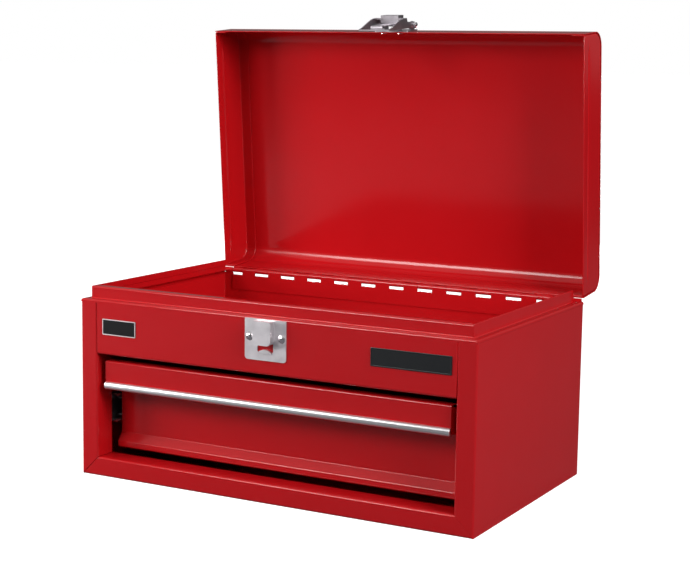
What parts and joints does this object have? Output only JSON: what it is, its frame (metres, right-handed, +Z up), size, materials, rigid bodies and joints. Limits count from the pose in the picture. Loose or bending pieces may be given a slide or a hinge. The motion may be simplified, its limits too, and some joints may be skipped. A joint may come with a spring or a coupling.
{
  "type": "portable tool box",
  "caption": "Steel tool box with a hinged lid over an open tray, and a drawer with a full-width finger recess below, closed by a lever catch.",
  "frame": {"origin": "middle of the box's flat bottom, on the surface that it stands on", "axes": "+Z up, -Y towards the drawer's front, +X to the right as seen from the front"},
  "size_m": [0.4, 0.2973, 0.4305],
  "materials": {
    "red_paint": "gloss red powder coat",
    "catch_plating": "bright nickel plate",
    "handle_plating": "zinc plate",
    "plated_steel": "zinc plate",
    "ball_steel": "polished ball-bearing steel",
    "bright_trim": "polished",
    "name_plate": "bare black"
  },
  "bodies": {
    "case": {"case_wrap": "red_paint", "front_fascia": "red_paint", "base_pan": "red_paint", "top_tray": "red_paint", "hinge_leaf_case": "red_paint", "hinge_pin": "plated_steel", "latch_keeper_plate": "catch_plating", "keeper_rivets": "catch_plating", "badge_left": "name_plate", "runner_bracket_left": "plated_steel", "runner_case_left": "plated_steel", "badge_right": "name_plate", "runner_bracket_right": "plated_steel", "runner_case_right": "plated_steel"},
    "lid": {"lid_wrap": "red_paint", "lid_end_left": "red_paint", "lid_end_right": "red_paint", "hinge_leaf_lid": "red_paint", "latch_plate": "catch_plating", "latch_rivets": "catch_plating", "handle_bracket_left": "handle_plating", "handle_bracket_right": "handle_plating"},
    "catch_lever": {"latch_lever": "catch_plating", "latch_hook": "catch_plating", "latch_pin": "catch_plating"},
    "carrying_handle": {"handle_bail": "handle_plating"},
    "drawer": {"drawer_pan": "red_paint", "drawer_front": "red_paint", "drawer_trim": "bright_trim", "runner_drawer_left": "plated_steel", "runner_drawer_right": "plated_steel"},
    "cage_left": {"ball_cage_left": "plated_steel", "runner_balls_left": "ball_steel"},
    "cage_right": {"ball_cage_right": "plated_steel", "runner_balls_right": "ball_steel"}
  },
  "joints": [
    {"name": "lid_hinge", "type": "hinge", "parent": "case", "child": "lid", "pos_m": [0, 0.122, 0.166], "axis": [1, 0, 0], "range_deg": [0, 85.2]},
    {"name": "drawer_slide", "type": "slide", "parent": "case", "child": "drawer", "axis": [0, -1, 0], "range_m": [0, 0.15]},
    {"name": "cage_left_slide", "type": "slide", "parent": "case", "child": "cage_left", "axis": [0, -1, 0], "range_m": [0, 0.075]},
    {"name": "cage_right_slide", "type": "slide", "parent": "case", "child": "cage_right", "axis": [0, -1, 0], "range_m": [0, 0.075]},
    {"name": "catch_pivot", "type": "hinge", "parent": "lid", "child": "catch_lever", "pos_m": [0, 0.12247, 0.42093], "axis": [-1, 0, 0], "range_deg": [-4, 95]},
    {"name": "handle_pivot", "type": "hinge", "parent": "lid", "child": "carrying_handle", "pos_m": [0, 0.16141, 0.2954], "axis": [1, 0, 0], "range_deg": [0, 180]}
  ],
  "couplings": [
    {"joint": "cage_left_slide", "follows": "drawer_slide", "ratio": 0.5},
    {"joint": "cage_right_slide", "follows": "drawer_slide", "ratio": 0.5}
  ]
}
